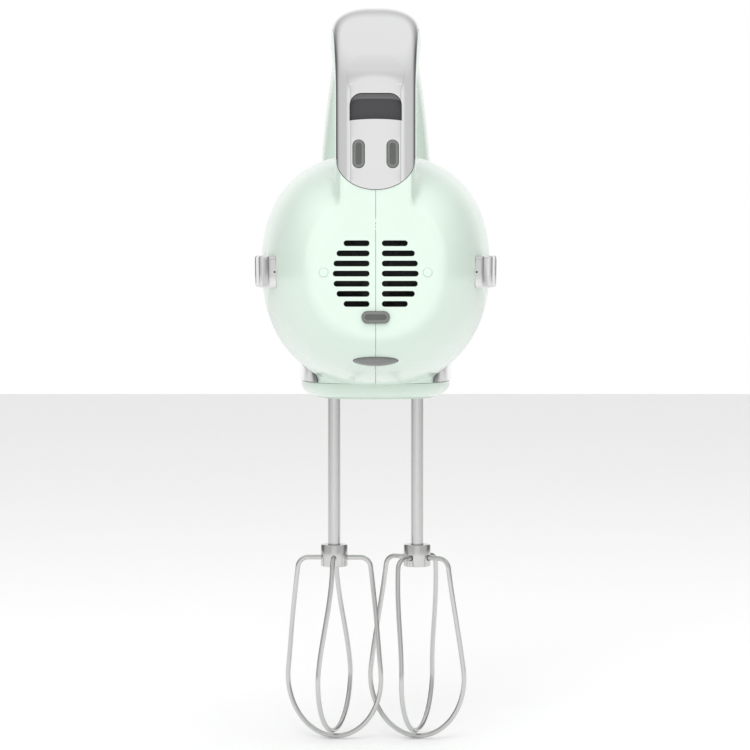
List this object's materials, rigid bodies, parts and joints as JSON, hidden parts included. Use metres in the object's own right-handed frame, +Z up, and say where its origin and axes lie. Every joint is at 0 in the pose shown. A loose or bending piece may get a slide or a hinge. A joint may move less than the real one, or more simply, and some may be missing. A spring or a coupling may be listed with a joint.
{
  "type": "hand mixer",
  "caption": "Rounded hand mixer with a loop handle, heel rest with rubber feet, vented rear, and two wire beaters that spin, pull out and eject.",
  "frame": {"origin": "under the middle of the mixer, level with the beaters' tips", "axes": "+Z up along the beaters, +Y towards the nose, +X to the right seen from the heel"},
  "size_m": [0.0956, 0.2, 0.2977],
  "materials": {
    "shell": "glossy pastel green enamel",
    "chrome": "polished",
    "rubber": "matte grey",
    "dark_plastic": "glossy dark grey",
    "nylon": "natural",
    "steel": "satin",
    "magnet": "dark ferrite and carbon",
    "copper": "bare",
    "board": "matte"
  },
  "bodies": {
    "housing": {"housing_left": "shell", "housing_right": "shell", "base_cover": "shell", "screw_plug_left": "shell", "screw_plug_right": "shell", "handle_trim": "chrome", "pedestal_trim": "chrome", "badge_left": "chrome", "badge_right": "chrome", "heel_foot_left": "rubber", "heel_foot_right": "rubber", "heel_foot_lower": "rubber", "tail_bumper": "rubber", "beater_socket_left": "rubber", "beater_socket_right": "rubber", "cord_inlet": "dark_plastic", "cord_gland": "dark_plastic", "display_lens": "dark_plastic", "gearbox_frame": "nylon", "base_screw_1": "steel", "base_screw_2": "steel", "base_screw_3": "steel", "base_screw_4": "steel", "rear_screw_left": "steel", "rear_screw_right": "steel", "eject_spring": "steel", "motor_can": "steel", "magnet_lower": "magnet", "magnet_upper": "magnet", "brush_left": "magnet", "brush_right": "magnet", "motor_bearing_rear": "copper", "motor_bearing_front": "copper", "control_board": "board"},
    "rotor": {"motor_shaft": "steel", "armature_core": "steel", "winding_rear": "copper", "winding_front": "copper", "commutator": "copper", "cooling_fan": "dark_plastic"},
    "drive_left": {"spindle_left": "steel", "worm_wheel_left": "nylon"},
    "pin_left": {"eject_pin_left": "steel"},
    "beater_left": {"beater_left_shaft": "steel", "beater_left_collar": "steel", "beater_left_loop_1": "steel", "beater_left_loop_2": "steel"},
    "drive_right": {"spindle_right": "steel", "worm_wheel_right": "nylon"},
    "pin_right": {"eject_pin_right": "steel"},
    "beater_right": {"beater_right_shaft": "steel", "beater_right_collar": "steel", "beater_right_loop_1": "steel", "beater_right_loop_2": "steel"},
    "ejector": {"eject_button": "dark_plastic", "eject_fork": "nylon"},
    "plus_button": {"plus_button": "dark_plastic"},
    "minus_button": {"minus_button": "dark_plastic"},
    "turbo_button": {"turbo_button": "dark_plastic"}
  },
  "joints": [
    {"name": "rotor_spin", "type": "hinge", "parent": "housing", "child": "rotor", "pos_m": [0, 0, 0.189], "axis": [0, 1, 0], "continuous": true},
    {"name": "drive_left_spin", "type": "hinge", "parent": "housing", "child": "drive_left", "pos_m": [-0.0173, 0.038, 0.189], "axis": [0, 0, 1], "continuous": true},
    {"name": "pin_left_slide", "type": "slide", "parent": "drive_left", "child": "pin_left", "axis": [0, 0, -1], "range_m": [0, 0.007]},
    {"name": "beater_left_pull", "type": "slide", "parent": "pin_left", "child": "beater_left", "axis": [0, 0, -1], "range_m": [0, 0.045]},
    {"name": "drive_right_spin", "type": "hinge", "parent": "housing", "child": "drive_right", "pos_m": [0.0173, 0.038, 0.189], "axis": [0, 0, 1], "continuous": true},
    {"name": "pin_right_slide", "type": "slide", "parent": "drive_right", "child": "pin_right", "axis": [0, 0, -1], "range_m": [0, 0.007]},
    {"name": "beater_right_pull", "type": "slide", "parent": "pin_right", "child": "beater_right", "axis": [0, 0, -1], "range_m": [0, 0.045]},
    {"name": "eject_press", "type": "slide", "parent": "housing", "child": "ejector", "axis": [0, 0, -1], "range_m": [0, 0.007], "stiffness_N_per_m": 300, "springref_m": -0.004, "deforming": ["eject_spring"]},
    {"name": "plus_press", "type": "slide", "parent": "housing", "child": "plus_button", "axis": [0, 0, -1], "range_m": [0, 0.0012], "stiffness_N_per_m": 400, "springref_m": -0.0015},
    {"name": "minus_press", "type": "slide", "parent": "housing", "child": "minus_button", "axis": [0, 0, -1], "range_m": [0, 0.0012], "stiffness_N_per_m": 400, "springref_m": -0.0015},
    {"name": "turbo_press", "type": "slide", "parent": "housing", "child": "turbo_button", "axis": [0, 0, -1], "range_m": [0, 0.0012], "stiffness_N_per_m": 400, "springref_m": -0.0015}
  ],
  "couplings": [
    {"joint": "drive_left_spin", "follows": "rotor_spin", "ratio": -0.090909},
    {"joint": "pin_left_slide", "follows": "eject_press", "ratio": 1},
    {"joint": "drive_right_spin", "follows": "rotor_spin", "ratio": 0.090909},
    {"joint": "pin_right_slide", "follows": "eject_press", "ratio": 1}
  ]
}
